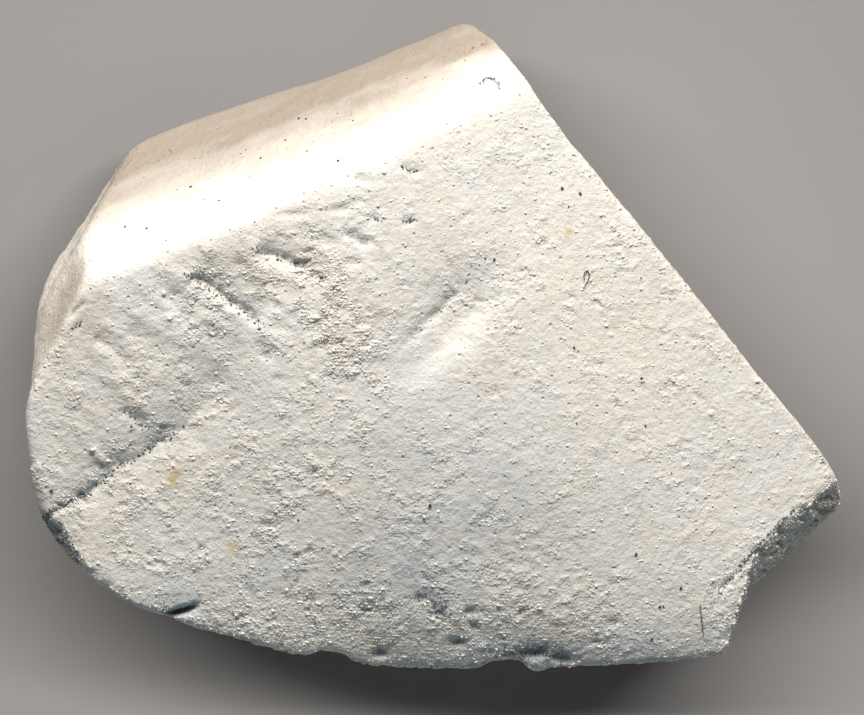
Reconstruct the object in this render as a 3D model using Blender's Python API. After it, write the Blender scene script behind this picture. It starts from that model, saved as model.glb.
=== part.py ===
"""Chalk rock: one hand-sized lump of white chalk, lying on a small flat spot with its big pale face up.

A block is cleaved down by flats, the way the rock itself broke. Two lumps are joined on where the outline
steps outward, the whole is given a grainy skin, and the chipped corner and the crease in the face are cut
from it. The resting face is cut last, at z = 0. Lengths are in millimetres until they reach Blender.
"""

import math

import bmesh
import bpy
from mathutils import Matrix, Vector

MM = 0.001

BLOCK_SIZE = Vector((84.0, 70.0, 46.0))
BLOCK_CENTRE = Vector((0.0, 0.0, 17.0))

GRAIN_SIZE = 1.75
WEAR_PASSES = 2
LUMP_SPACING = 9.0
LUMP_HEIGHT = 0.9
GRIT_SPACING = 2.6
GRIT_HEIGHT = 0.35
LUMP_INSET = 0.02
LOWEST_POINT = -1.0

CHALK_COLOUR = (0.80, 0.77, 0.71, 1.0)
CHALK_ROUGHNESS = 0.95

# A flat is (bearing, lift, point): it faces `bearing` degrees round from +X and `lift` degrees above level,
# and passes through `point`.
FACE = {
    "left of the face": (255, 75, (-17.2, 1.3, 31.3)),
    "right of the face": (34, 80, (15.8, 8.1, 29.6)),
    "middle of the face": (309, 76, (3.1, -10.5, 28.6)),
    "low side of the face": (260, 69, (-1.1, -20.7, 26.4)),
    "rolled lower edge": (270, 53.5, (-1.1, -24.9, 21.4)),
}
LONG_BAND = {
    "bright band": (103, 37, (-16.0, 9.7, 31.1)),
    "outer band": (112, 24, (-15.3, 21.0, 9.0)),
    "far edge of the band": (106, -10, (-6.7, 23.3, 8.0)),
}
SHORT_BAND = {
    "bright end": (112.5, 39.5, (2.5, 20.1, 31.0)),
    "outer end": (120, 17, (-0.4, 25.7, 18.6)),
    "far edge of the end": (113, -4, (-9.6, 22.4, 15.0)),
}
UPPER_LEFT = {
    "upper left wall": (156, 7, (-27.9, 12.5, 9.0)),
}
NUB = {
    "nub wall": (148.5, 10, (-26.0, 15.9, 10.0)),
    "nub top": (160, 45, (-32.6, 3.9, 19.0)),
    "nub outer wall": (175, 6, (-34.0, 3.0, 14.0)),
}
WALLS = {
    "long straight side": (38.6, -3, (15.6, 12.5, 26.0)),
    "tip": (0, -4, (35.4, 0.0, 24.0)),
    "round of the tip": (24, -4, (28.7, 12.8, 26.0)),
    "top corner": (76, -5, (6.8, 27.3, 21.0)),
    "upper left corner": (132, 4, (-20.3, 22.5, 8.0)),
    "left wall": (182, -5, (-34.6, -1.2, 20.0)),
    "lower left bend": (205, 0, (-32.8, -15.3, 20.0)),
    "lower left wall": (222, 8, (-26.6, -23.9, 18.0)),
    "first lower wall": (245, -14, (-13.2, -28.4, 25.0)),
    "second lower wall": (263.5, -20, (-3.3, -29.0, 24.0)),
    "third lower wall": (270, -18, (0.0, -28.9, 24.0)),
    "last lower wall": (276.5, -12, (3.5, -30.6, 24.0)),
}
UNDERSIDE = {
    "under the long side": (34, -44, (22.6, -1.2, 9.5)),
    "under the band": (112, -42, (-15.3, 21.0, 6.0)),
    "under the upper left": (156, -42, (-28.9, 12.9, 8.0)),
    "under the left wall": (190, -38, (-34.4, -8.0, 9.0)),
    "under the lower left": (228, -36, (-30.6, -18.2, 10.0)),
    "under the lower walls": (262, -42, (-0.3, -26.2, 12.0)),
    "under the chipped corner": (320, -40, (26.0, -21.5, 10.0)),
    "belly, toward the tip": (15, -70, (11.5, 3.1, 0.0)),
    "belly, toward the top": (75, -68, (2.3, 8.7, 0.0)),
    "belly, upper left": (140, -70, (-7.7, 6.4, 0.0)),
    "belly, left": (200, -72, (-11.3, -4.1, 0.0)),
    "belly, lower": (255, -68, (-2.3, -8.7, 0.0)),
    "belly, lower right": (315, -70, (7.8, -7.8, 0.0)),
}
CHIPPED_CORNER = {
    "upper wall of the chip": (309.8, 10, (20.5, -24.6, 15.0)),
    "lower wall of the chip": (340.5, 8, (29.6, -10.5, 15.0)),
}

# The crease is the V between two walls that meet along its bottom, from one end to the other. Each wall
# leaves the bottom toward its own rim point.
CREASE_BOTTOM = ((-33.0, -15.3, 24.8), (-16.6, -1.3, 30.6))
CREASE_STEEP_RIM = (-25.2, -8.6, 28.2)
CREASE_GENTLE_RIM = (-22.5, -12.0, 27.5)


def clear_scene():
    """An empty scene, with nothing left of the one Blender starts with."""
    for leftover in list(bpy.data.objects):
        bpy.data.objects.remove(leftover, do_unlink=True)


def facing(bearing, lift):
    """The unit vector that looks `bearing` degrees round from +X and `lift` degrees above level."""
    around, up = math.radians(bearing), math.radians(lift)
    return Vector((math.cos(up) * math.cos(around), math.cos(up) * math.sin(around), math.sin(up)))


def block():
    """The solid block that every lump is cleaved from."""
    body = bmesh.new()
    stretch = Matrix.LocRotScale(BLOCK_CENTRE * MM, None, BLOCK_SIZE * MM)
    bmesh.ops.create_cube(body, size=1.0, matrix=stretch)
    return body


def cleave(body, point, normal):
    """Takes away what lies beyond the plane through `point` that faces `normal`, and closes the cut."""
    whole = body.verts[:] + body.edges[:] + body.faces[:]
    bmesh.ops.bisect_plane(body, geom=whole, dist=1e-7, plane_co=point, plane_no=normal, clear_outer=True)
    bmesh.ops.holes_fill(body, edges=[edge for edge in body.edges if edge.is_boundary], sides=0)


def object_from(body, name):
    """Puts the finished body into the scene under its name."""
    bmesh.ops.recalc_face_normals(body, faces=body.faces[:])
    mesh = bpy.data.meshes.new(name)
    body.to_mesh(mesh)
    body.free()
    made = bpy.data.objects.new(name, mesh)
    bpy.context.scene.collection.objects.link(made)
    return made


def as_helper(made):
    """Keeps the object out of the finished part: it only joins or cuts."""
    made.hide_render = True
    made.display_type = "WIRE"
    return made


def lump(name, *groups, inset=0.0):
    """A block cleaved by every flat of the groups, each moved inward by the inset."""
    body = block()
    for group in groups:
        for bearing, lift, point in group.values():
            normal = facing(bearing, lift)
            cleave(body, (Vector(point) - normal * inset) * MM, normal)
    return object_from(body, name)


def wedge(name, walls):
    """The block's outer part beyond every wall: what a chip took away."""
    body = block()
    for bearing, lift, point in walls.values():
        cleave(body, Vector(point) * MM, -facing(bearing, lift))
    return as_helper(object_from(body, name))


def valley(name, bottom, rims):
    """The part of the block above two walls, which meet along the bottom line and rise to their rims."""
    start, end = (Vector(point) for point in bottom)
    body = block()
    for rim in rims:
        normal = (end - start).cross(Vector(rim) - start).normalized()
        if normal.z > 0.0:
            normal.negate()
        cleave(body, start * MM, normal)
    return as_helper(object_from(body, name))


def combine(target, other, operation):
    """Adds or takes away another solid."""
    step = target.modifiers.new(f"{operation.lower()} {other.name}", "BOOLEAN")
    step.operation = operation
    step.solver = "EXACT"
    step.object = other


def roughen(target, name):
    """Gives the object a skin of even grains, wears its edges, and raises lumps and grit along it."""
    grains = target.modifiers.new("grains", "REMESH")
    grains.mode = "VOXEL"
    grains.voxel_size = GRAIN_SIZE * MM
    wear = target.modifiers.new("wear", "SMOOTH")
    wear.iterations = WEAR_PASSES
    for kind, spacing, height in (
        ("lumps", LUMP_SPACING, LUMP_HEIGHT),
        ("grit", GRIT_SPACING, GRIT_HEIGHT),
    ):
        pattern = bpy.data.textures.new(f"{name} {kind}", "CLOUDS")
        pattern.noise_scale = spacing * MM
        relief = target.modifiers.new(kind, "DISPLACE")
        relief.texture = pattern
        relief.texture_coords = "LOCAL"
        relief.mid_level = 0.5
        relief.strength = height * MM


def settled(rough, name):
    """The finished rock: its modifiers made real, cut flat at z = 0 and centred over the origin."""
    graph = bpy.context.evaluated_depsgraph_get()
    body = bmesh.new()
    body.from_object(rough, graph)
    cleave(body, Vector((0.0, 0.0, 0.0)), Vector((0.0, 0.0, -1.0)))
    for axis in (0, 1):
        places = [vertex.co[axis] for vertex in body.verts]
        middle = (min(places) + max(places)) / 2
        for vertex in body.verts:
            vertex.co[axis] -= middle
    return object_from(body, name)


def chalk():
    """Dry, matt, warm white chalk."""
    material = bpy.data.materials.new("chalk")
    material.use_nodes = True
    shader = material.node_tree.nodes["Principled BSDF"]
    shader.inputs["Base Color"].default_value = CHALK_COLOUR
    shader.inputs["Roughness"].default_value = CHALK_ROUGHNESS
    return material


def build():
    """The rock, from the first lump to the resting face."""
    clear_scene()
    bottom = {"bottom": (0, -90, (0.0, 0.0, LOWEST_POINT))}
    shared = (FACE, WALLS, UNDERSIDE, bottom)
    rough = as_helper(lump("rough rock", LONG_BAND, UPPER_LEFT, *shared))
    end = as_helper(lump("short band", SHORT_BAND, UPPER_LEFT, *shared, inset=LUMP_INSET))
    nub = as_helper(lump("nub", LONG_BAND, NUB, *shared, inset=LUMP_INSET))
    combine(rough, end, "UNION")
    combine(rough, nub, "UNION")
    roughen(rough, "rock")
    chip = wedge("chip", CHIPPED_CORNER)
    roughen(chip, "chip")
    combine(rough, chip, "DIFFERENCE")
    crease = valley("crease", CREASE_BOTTOM, (CREASE_STEEP_RIM, CREASE_GENTLE_RIM))
    combine(rough, crease, "DIFFERENCE")
    rock = settled(rough, "chalk_rock")
    rock.data.materials.append(chalk())


build()
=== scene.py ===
"""Chalk rock: one weathered lump of white chalk lying on a pale floor, its big broken face up.

The lump is one closed skin. A closed lattice is drawn outward onto a field that blends the flats the rock
broke along, and relief is then raised along the skin: swells, scales, grain, pits, and the creases and
furrows that have their own places. Crumbs, specks and hairs lie on it; the dark crumbs along the cuts and
under the edges are painted shade. Lengths are in millimetres until a mesh is made.
"""

import math

import bpy
import numpy as np
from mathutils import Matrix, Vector


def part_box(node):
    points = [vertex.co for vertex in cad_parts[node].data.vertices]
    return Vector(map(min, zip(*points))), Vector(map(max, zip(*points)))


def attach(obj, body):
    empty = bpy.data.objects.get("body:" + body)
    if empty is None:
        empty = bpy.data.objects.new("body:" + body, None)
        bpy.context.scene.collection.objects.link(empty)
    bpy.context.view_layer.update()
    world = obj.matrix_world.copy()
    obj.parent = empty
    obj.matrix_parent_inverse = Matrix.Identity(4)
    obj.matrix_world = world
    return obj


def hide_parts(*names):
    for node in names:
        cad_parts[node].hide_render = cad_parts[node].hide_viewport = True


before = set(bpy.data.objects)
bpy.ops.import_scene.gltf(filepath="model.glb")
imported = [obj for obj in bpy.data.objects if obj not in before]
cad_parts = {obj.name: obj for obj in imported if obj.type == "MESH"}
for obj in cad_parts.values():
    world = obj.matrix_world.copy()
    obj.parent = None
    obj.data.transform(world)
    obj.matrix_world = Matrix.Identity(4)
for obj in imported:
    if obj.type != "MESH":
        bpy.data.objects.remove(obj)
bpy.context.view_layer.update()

# ---------------- sizes

DRAWN_LENGTH = 69.1
low_corner, high_corner = (np.array(corner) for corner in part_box("chalk_rock"))
MM = (high_corner[0] - low_corner[0]) / DRAWN_LENGTH
MIDDLE = np.array([(low_corner[0] + high_corner[0]) / 2, (low_corner[1] + high_corner[1]) / 2, low_corner[2]])

# The skin is drawn outward from the heart. Its top is a grid of squares, with fine and then coarse rings down
# the sides. The rim, where the rings begin, may run as low as RIM_LOWEST.
HEART = np.array([0.0, 0.0, 10.0])
GRID = (264, 208)
FINE_RINGS, COARSE_RINGS = 14, 26
HALF_PLAN = (34.4, 27.4)
RIM_LOWEST = 9.0
SOLVE_STEPS, TOP_STEPS = 18, 8

# ---------------- the flats of the rock

CHIP_BEARING, LONG_SIDE_BEARING = 311.4, 38.6
# How far the long band's streaks, and the ribs on the upper left of the face, run round from +X.
STREAK_TURN, RIB_TURN = 20, -33

# A flat is (bearing, lift, point): it faces `bearing` degrees round from +X and `lift` degrees above level,
# and passes through `point`.
FACE = {
    "left of the face": (255.5, 76, (-17.2, 1.3, 31.3)),
    "right of the face": (348, 80, (15.8, 8.1, 29.6)),
    "middle of the face": (309, 76, (3.1, -10.5, 28.6)),
    "low side of the face": (260, 69, (-1.1, -20.7, 26.4)),
}
LOWER_ROLL = {
    "rolled lower edge": (270, 53.5, (-1.1, -24.9, 22.2)),
    "rolled edge, right": (266.5, 53.0, (-1.1, -24.9, 21.8)),
    "rolled edge, left": (292, 53.0, (-5.0, -25.2, 22.2)),
}
LONG_BAND = {
    "bright band": (103, 37, (-16.0, 9.7, 31.1)),
    "outer band": (112, 24, (-15.3, 21.0, 9.0)),
    "far edge of the band": (104.2, -10, (-6.7, 23.3, 8.0)),
}
SHORT_BAND = {
    "bright end": (112.5, 39.5, (2.5, 20.1, 31.0)),
    "outer end": (120, 17, (-0.5, 25.9, 18.6)),
    "far edge of the end": (113, -4, (-9.6, 22.4, 15.0)),
}
UPPER_LEFT = {
    "upper left wall": (157, 11, (-29.0, 6.0, 31.7)),
    "upper left wall, lower part": (157.5, -2, (-28.1, 12.6, 22.0)),
}
NUB = {
    "nub wall": (146.3, 5, (-31.95, 6.85, 15.0)),
    "nub top": (160, 38, (-31.9, 4.4, 24.0)),
    "nub outer wall": (175, 6, (-34.7, 3.0, 14.0)),
}
LONG_SIDE = {
    "long straight side": (41.3, -3, (21.64, 4.84, 26.0)),
    "long side, upper part": (36.7, -3, (15.1, 12.4, 26.0)),
    "long side, by the top corner": (15.4, -3, (7.45, 22.95, 24.0)),
}
WALLS = {
    "tip": (0, -4, (35.25, 0.0, 24.0)),
    "round of the tip": (18, -4, (34.4, -10.0, 26.0)),
    "long side, toward the tip": (39, -3, (31.5, -6.48, 26.0)),
    "top corner": (76, -5, (6.7, 27.1, 21.0)),
    "round of the top corner": (48, -4, (5.95, 26.5, 24.0)),
    "upper left corner": (134, 3, (-26.05, 18.35, 20.0)),
    "left wall": (184.5, -5, (-34.4, -1.2, 24.0)),
    "lower left bend": (205, 0, (-33.1, -15.5, 20.0)),
    "lower left wall": (221, -2, (-33.5, -15.0, 24.0)),
    "lower left wall, toward the furrow": (236.8, -3, (-29.6, -19.7, 23.5)),
    "wall behind the furrow": (250.3, -6, (-22.9, -23.2, 23.5)),
    "broken strip, lower left": (227, 46, (-30.25, -15.8, 26.3)),
    "first lower wall": (255, -14, (-14.0, -26.3, 25.0)),
    "second lower wall": (263.5, -20, (-3.3, -28.7, 24.0)),
    "third lower wall": (270, -18, (0.0, -28.5, 24.0)),
    "last lower wall": (276.5, -12, (3.5, -29.5, 24.0)),
}
UNDERSIDE = {
    "under the long side": (34, -44, (22.6, -1.2, 9.5)),
    "under the band": (112, -42, (-15.3, 21.0, 6.0)),
    "under the upper left": (156, -42, (-28.9, 12.9, 8.0)),
    "under the left wall": (190, -38, (-34.4, -8.0, 9.0)),
    "under the lower left": (228, -36, (-30.6, -18.2, 10.0)),
    "under the lower walls": (262, -42, (-0.3, -26.2, 12.0)),
    "under the chipped corner": (320, -40, (26.0, -21.5, 10.0)),
    "belly, toward the tip": (15, -70, (11.5, 3.1, 0.0)),
    "belly, toward the top": (75, -68, (2.3, 8.7, 0.0)),
    "belly, upper left": (140, -70, (-7.7, 6.4, 0.0)),
    "belly, left": (200, -72, (-11.3, -4.1, 0.0)),
    "belly, lower": (255, -68, (-2.3, -8.7, 0.0)),
    "belly, lower right": (315, -70, (7.8, -7.8, 0.0)),
    "resting face": (0, -90, (0.0, 0.0, -0.2)),
}
CHIP_UPPER = {
    "upper wall of the chip": (CHIP_BEARING, 35, (28.62, -16.3, 23.3)),
    "upper wall, lower part": (CHIP_BEARING, 0, (29.8, -17.78, 18.0)),
}
CHIP_LOWER = {
    "lower wall of the chip": (345.9, -2, (25.7, -22.9, 23.0)),
}

# Balls that have bitten into the lower edge: centre and radius.
BITES = [
    ((-8.9, -27.7, 21.3), 2.3),
    ((6.1, -28.7, 20.4), 2.6),
]
TOP_RAISE = 0.25

# ---------------- fields


def facing(bearing, lift):
    """The unit vector that looks `bearing` degrees round from +X and `lift` degrees above level."""
    around, up = math.radians(bearing), math.radians(lift)
    return np.array([math.cos(up) * math.cos(around), math.cos(up) * math.sin(around), math.sin(up)])


def blend_most(parts, softness):
    """The largest of several fields, rounded where they meet: softness x log of the sum of exp(value /
    softness). Each part is (value, slope), and the slopes are averaged with the same weights."""
    values = np.stack([value for value, _ in parts])
    slopes = np.stack([slope for _, slope in parts])
    most = values.max(0)
    weights = np.exp((values - most) / softness)
    total = weights.sum(0)
    return most + softness * np.log(total), (weights[..., None] * slopes).sum(0) / total[:, None]


def blend_least(parts, softness):
    """The smallest of several fields, rounded where they meet."""
    value, slope = blend_most([(-value, -slope) for value, slope in parts], softness)
    return -value, -slope


def flats(points, group):
    """How far each point stands beyond each flat of a group, with the flat's own direction as the slope."""
    parts = []
    for bearing, lift, through in group.values():
        direction = facing(bearing, lift)
        beyond = (points - np.array(through)) @ direction
        parts.append((beyond, np.broadcast_to(direction, points.shape)))
    return parts


def sphere_hollows(points, hollows):
    """The part inside any of several balls, as a field that cuts them out: radius less distance."""
    value = np.full(len(points), -9.0)
    slope = np.zeros(points.shape)
    for centre, radius in hollows:
        away = points - np.array(centre)
        distance = np.linalg.norm(away, axis=1)
        inside = radius - distance
        nearer = inside > value
        value[nearer] = inside[nearer]
        slope[nearer] = -away[nearer] / distance[nearer, None]
    return value, slope


def rock_parts(points):
    """The four big parts of the rock's field: face, bands, walls and chip, each (value, slope)."""
    roll = blend_least(flats(points, LOWER_ROLL), 1.0)
    face = blend_most(flats(points, FACE) + [roll], 1.4)
    long_band = blend_most(flats(points, LONG_BAND), 0.8)
    short_band = blend_most(flats(points, SHORT_BAND), 0.8)
    bands = blend_least([long_band, short_band], 0.7)
    nub = blend_most(flats(points, NUB), 0.7)
    upper_left = blend_most(flats(points, UPPER_LEFT), 0.4)
    left = blend_least([upper_left, nub], 0.5)
    long_side = blend_least(flats(points, LONG_SIDE), 0.2)
    walls = blend_most(flats(points, WALLS) + flats(points, UNDERSIDE) + [left, long_side], 0.45)
    chip = blend_least([blend_most(flats(points, CHIP_UPPER), 0.3)] + flats(points, CHIP_LOWER), 0.25)
    return face, bands, walls, chip


def rock_field(points):
    """Negative inside the rock and positive outside: the blend of its four parts, less the bites."""
    face, bands, walls, chip = rock_parts(points)
    whole = blend_most([top_field(face, bands), walls], 0.25)
    return blend_most([whole, chip, sphere_hollows(points, BITES)], 0.12)


def top_field(face, bands):
    """The face and the bands blended, raised a little to make up for what their rounding takes away."""
    value, slope = blend_most([face, bands], 0.5)
    return value - TOP_RAISE, slope


def top_height(plan):
    """How high the top of the rock is over each place in plan, found by sliding up and down onto it."""
    points = np.concatenate([plan, np.full((len(plan), 1), 25.0)], 1)
    for _ in range(TOP_STEPS):
        value, slope = top_field(*rock_parts(points)[:2])
        points[:, 2] = np.clip(points[:, 2] - value / np.maximum(slope[:, 2], 0.3), RIM_LOWEST - 1, 36)
    return points


def outline_reach(bearings):
    """How far the top of the rock reaches in plan at each bearing: the first place where a wall stands inside
    it, or where the band has come down to the lowest rim."""
    known = np.radians(np.arange(0, 360, 1.0))
    reaches = np.arange(20.0, 40.0, 0.1)
    plan = reaches[None, :, None] * np.stack([np.cos(known), np.sin(known)], 1)[:, None]
    points = top_height(plan.reshape(-1, 2))
    _, _, (wall, _), (chip, _) = rock_parts(points)
    outside = (np.maximum(wall, chip) > 0) | (points[:, 2] < RIM_LOWEST)
    first = reaches[np.argmax(outside.reshape(len(known), -1), axis=1)]
    even = np.convolve(np.concatenate([first[-2:], first, first[:2]]), np.full(5, 1 / 5), "valid")
    return np.interp(bearings, known, even, period=2 * math.pi)


# ---------------- noise

# In the calls below and in the relief, a noise's first number is its size in millimetres, and its seed is the
# whole number at the end or before the fall.


def scramble(cells, seed):
    """A 32-bit number for each whole-number cell, the same every run."""
    number = (
        cells[..., 0].astype(np.uint32) * np.uint32(374761393)
        + cells[..., 1].astype(np.uint32) * np.uint32(668265263)
        + cells[..., 2].astype(np.uint32) * np.uint32(2246822519)
        + np.uint32((seed * 3266489917 + 97) & 0xFFFFFFFF)
    )
    number = (number ^ (number >> np.uint32(15))) * np.uint32(2246822519)
    number = (number ^ (number >> np.uint32(13))) * np.uint32(3266489917)
    return number ^ (number >> np.uint32(16))


def three_parts(numbers):
    """Three values from -1 to 1 out of each scrambled number."""
    shifts = np.array([0, 10, 20], np.uint32)
    return ((numbers[..., None] >> shifts) & np.uint32(1023)) / 511.5 - 1.0


def smooth_noise(points, seed):
    """Gradient noise about -1 to 1: each lattice corner's random slope, faded together across its cell."""
    cells = np.floor(points).astype(np.int64)
    inside = points - cells
    fade = inside**3 * (inside * (inside * 6 - 15) + 10)
    total = np.zeros(len(points))
    for corner in np.ndindex(2, 2, 2):
        corner = np.array(corner)
        slopes = three_parts(scramble(cells + corner, seed))
        share = np.where(corner, fade, 1 - fade).prod(1)
        total += share * (slopes * (inside - corner)).sum(1)
    return total * 1.5


def layered_noise(points, size, layers, seed, fall=0.5):
    """Smooth noise at one size and its halves, each layer `fall` as high as the one before."""
    total, height = np.zeros(len(points)), 1.0
    for layer in range(layers):
        total += height * smooth_noise(points / size * 2**layer + 31.7 * layer, seed + layer)
        height *= fall
    return total


def cell_noise(points, seed):
    """Distance to the nearest and second nearest scattered seed, the way to the nearest, and its number."""
    cells = np.floor(points).astype(np.int64)
    nearest = np.full(len(points), 9.0)
    second = np.full(len(points), 9.0)
    toward = np.zeros(points.shape)
    number = np.zeros(len(points), np.uint32)
    for step in np.ndindex(3, 3, 3):
        cell = cells + np.array(step) - 1
        scrambled = scramble(cell, seed)
        away = points - (cell + 0.5 + 0.45 * three_parts(scrambled))
        distance = np.linalg.norm(away, axis=1)
        closer = distance < nearest
        second = np.where(closer, nearest, np.minimum(second, distance))
        nearest = np.where(closer, distance, nearest)
        toward[closer] = away[closer]
        number[closer] = scrambled[closer]
    return nearest, second, toward, number


def scales(points, size, seed):
    """Overlapping flakes: every cell has its own height and its own tilt, with a soft step between cells."""
    nearest, second, toward, number = cell_noise(points / size, seed)
    own = three_parts(scramble(np.stack([number, number >> 7, number >> 3], -1).astype(np.int64), seed + 5))
    edge = np.clip((second - nearest) / 0.12, 0, 1)
    return (0.5 * own[:, 0] + (own * toward).sum(1)) * (0.35 + 0.65 * edge)


def pits(points, size, share, seed):
    """Round pits in a share of the cells, 1 at the bottom and 0 outside."""
    nearest, _, _, number = cell_noise(points / size, seed)
    chosen = (number % 1000) < 1000 * share
    wide = 0.16 + 0.22 * ((number >> 10) % 1000) / 1000
    return np.where(chosen, np.clip(1 - (nearest / wide) ** 2, 0, 1), 0.0)


def ramp(values, start, end):
    """0 before start, 1 after end, and an even S between them."""
    share = np.clip((values - start) / (end - start), 0, 1)
    return share * share * (3 - 2 * share)


# ---------------- places on the face


def turned(x, y, turn):
    """Distances along and across an axis that runs `turn` degrees round from +X."""
    around = math.radians(turn)
    return x * math.cos(around) + y * math.sin(around), y * math.cos(around) - x * math.sin(around)


def patch(x, y, centre, radii, turn=0.0):
    """A soft oval patch in plan: exp(-(u^2 + v^2)) in its own turned and scaled axes."""
    along, across = turned(x - centre[0], y - centre[1], turn)
    u, v = along / radii[0], across / radii[1]
    return np.exp(-(u * u + v * v))


def patches(x, y, table):
    """The sum of a table of soft patches: each row is centre, reach along, reach across, turn, height."""
    return sum(height * patch(x, y, centre, reaches, turn) for centre, *reaches, turn, height in table)


def along_path(x, y, path):
    """For each point, the share along a path of straight runs, and the distance to its left (+) or right."""
    path = np.array(path)
    runs = np.diff(path, axis=0)
    lengths = np.linalg.norm(runs, axis=1)
    starts = np.concatenate([[0], np.cumsum(lengths)])
    best = np.full(len(x), 1e9)
    share = np.zeros(len(x))
    side = np.zeros(len(x))
    for (px, py), (rx, ry), length, start in zip(path[:-1], runs, lengths, starts):
        reach = np.clip(((x - px) * rx + (y - py) * ry) / length**2, 0, 1)
        ox, oy = x - px - reach * rx, y - py - reach * ry
        distance = np.hypot(ox, oy)
        closer = distance < best
        best = np.where(closer, distance, best)
        share = np.where(closer, (start + reach * length) / starts[-1], share)
        side = np.where(closer, np.sign(rx * (y - py) - ry * (x - px)) * distance, side)
    return share, side


def furrow(x, y, path, depth, left, right, fade=0.15, power=2.0):
    """A valley along a path, `depth` deep, that fades over its ends. Each side falls off as
    exp(-(distance / width)^power) with its own width, so a low power gives a sharp bottom."""
    share, side = along_path(x, y, path)
    width = np.where(side > 0, left, right)
    ends = ramp(share, 0, fade) * ramp(1 - share, 0, fade)
    return depth * ends * np.exp(-((np.abs(side) / width) ** power))


# ---------------- the lattice


def skin_lattice():
    """A closed grid over a box: a fine grid on top, fine rings down the sides, one ring of triangles that
    halves the count, then coarse rings and a coarse grid underneath. Places are (u, v) from -1 to 1 and the
    share of the way down from the rim, 0 for the whole top and 1 for the whole bottom."""

    def level(step, share):
        """The grid at one share of the way down, with every `step`-th line."""
        u, v = np.meshgrid(columns[::step], rows[::step], indexing="ij")
        return np.stack([u, v, np.full(u.shape, share)], -1)

    def rim(grid):
        """The grid's four edges in one loop, counter-clockwise from above."""
        return np.concatenate([grid[:-1, 0], grid[-1, :-1], grid[:0:-1, -1], grid[0, :0:-1]])

    def squares(grid):
        """The four corners of every cell of a grid of point numbers."""
        return np.stack([grid[:-1, :-1], grid[1:, :-1], grid[1:, 1:], grid[:-1, 1:]], -1).reshape(-1, 4)

    def belt(upper, lower):
        """The squares between two rings of point numbers."""
        return np.stack([lower, np.roll(lower, -1), np.roll(upper, -1), upper], -1)

    columns, rows = (np.linspace(-1, 1, count + 1) for count in GRID)
    shares = np.linspace(0, 1, FINE_RINGS + COARSE_RINGS + 1) ** 1.2
    top = level(1, 0.0)
    points = [top.reshape(-1, 3)]
    top_numbers = np.arange(top.shape[0] * top.shape[1]).reshape(top.shape[:2])
    squares_made, ring = [squares(top_numbers)], rim(top_numbers)
    ring_place, count = rim(top), len(points[0])
    for share in shares[1 : FINE_RINGS + 1]:
        lower = count + np.arange(len(ring))
        points.append(ring_place + (0, 0, share))
        squares_made.append(belt(ring, lower))
        ring, count = lower, count + len(lower)
    bottom = level(2, 1.0)
    coarse_place = rim(level(2, 0.0))
    triangles = None
    for share in shares[FINE_RINGS + 1 :]:
        if share < 1:
            lower = count + np.arange(len(coarse_place))
            points.append(coarse_place + (0, 0, share))
            count += len(lower)
        else:
            bottom_numbers = count + np.arange(bottom.shape[0] * bottom.shape[1]).reshape(bottom.shape[:2])
            points.append(bottom.reshape(-1, 3))
            lower = rim(bottom_numbers)
            squares_made.append(squares(bottom_numbers)[:, ::-1])
        if triangles is None:
            even, odd, following = ring[::2], ring[1::2], np.roll(lower, -1)
            three = [(lower, odd, even), (lower, following, odd), (following, np.roll(even, -1), odd)]
            triangles = np.concatenate([np.stack(corners, -1) for corners in three])
        else:
            squares_made.append(belt(ring, lower))
        ring = lower
    return np.concatenate(points), np.concatenate(squares_made), triangles


def lattice_directions(lattice):
    """The way from the heart through each place of the lattice. The square is rounded to a disc by
    u sqrt(1 - v^2 / 2), v sqrt(1 - u^2 / 2), the disc is stretched onto the outline, and each place is lifted
    onto the top; the rings run from the rim straight down to the floor."""
    u, v, share = lattice.T
    across, along = u * np.sqrt(1 - v * v / 2), v * np.sqrt(1 - u * u / 2)
    bearing = np.arctan2(along * HALF_PLAN[1], across * HALF_PLAN[0])
    reach = outline_reach(bearing) * np.hypot(across, along)
    points = top_height(np.stack([reach * np.cos(bearing), reach * np.sin(bearing)], 1))
    points[:, 2] *= 1 - share
    directions = points - HEART
    return directions / np.linalg.norm(directions, axis=1)[:, None]


def draw_out(directions, field):
    """Slides each point out from the heart along its direction until the field is zero there."""
    reach = np.full(len(directions), 15.0)
    for _ in range(SOLVE_STEPS):
        value, slope = field(HEART + reach[:, None] * directions)
        reach = np.clip(reach - value / np.maximum((slope * directions).sum(1), 0.25), 3, 60)
    points = HEART + reach[:, None] * directions
    value, slope = field(points)
    return points, slope / np.linalg.norm(slope, axis=1)[:, None]


def neighbour_mean(values, squares, rounds):
    """Each value replaced by the mean of its neighbours along the squares' edges, several times over."""
    ends = np.concatenate([squares[:, [0, 1]], squares[:, [1, 2]], squares[:, [2, 3]], squares[:, [3, 0]]])
    count = np.maximum(np.bincount(ends[:, 0], minlength=len(values)), 1)
    for _ in range(rounds):
        values = np.bincount(ends[:, 0], values[ends[:, 1]], len(values)) / count
    return values


def mesh_object(name, points, face_groups, smooth=True):
    """A mesh object at the origin from points in drawn millimetres and groups of faces, each group with its
    own number of corners."""
    corners = np.concatenate([group.ravel() for group in face_groups])
    sizes = np.concatenate([np.full(len(group), group.shape[1]) for group in face_groups])
    mesh = bpy.data.meshes.new(name)
    mesh.vertices.add(len(points))
    mesh.vertices.foreach_set("co", (points * MM + MIDDLE).astype(np.float32).ravel())
    mesh.loops.add(len(corners))
    mesh.loops.foreach_set("vertex_index", corners.astype(np.int32))
    mesh.polygons.add(len(sizes))
    mesh.polygons.foreach_set("loop_start", (np.cumsum(sizes) - sizes).astype(np.int32))
    mesh.update(calc_edges=True)
    mesh.validate()
    if smooth:
        mesh.shade_smooth()
    made = bpy.data.objects.new(name, mesh)
    bpy.context.scene.collection.objects.link(made)
    return made


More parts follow.
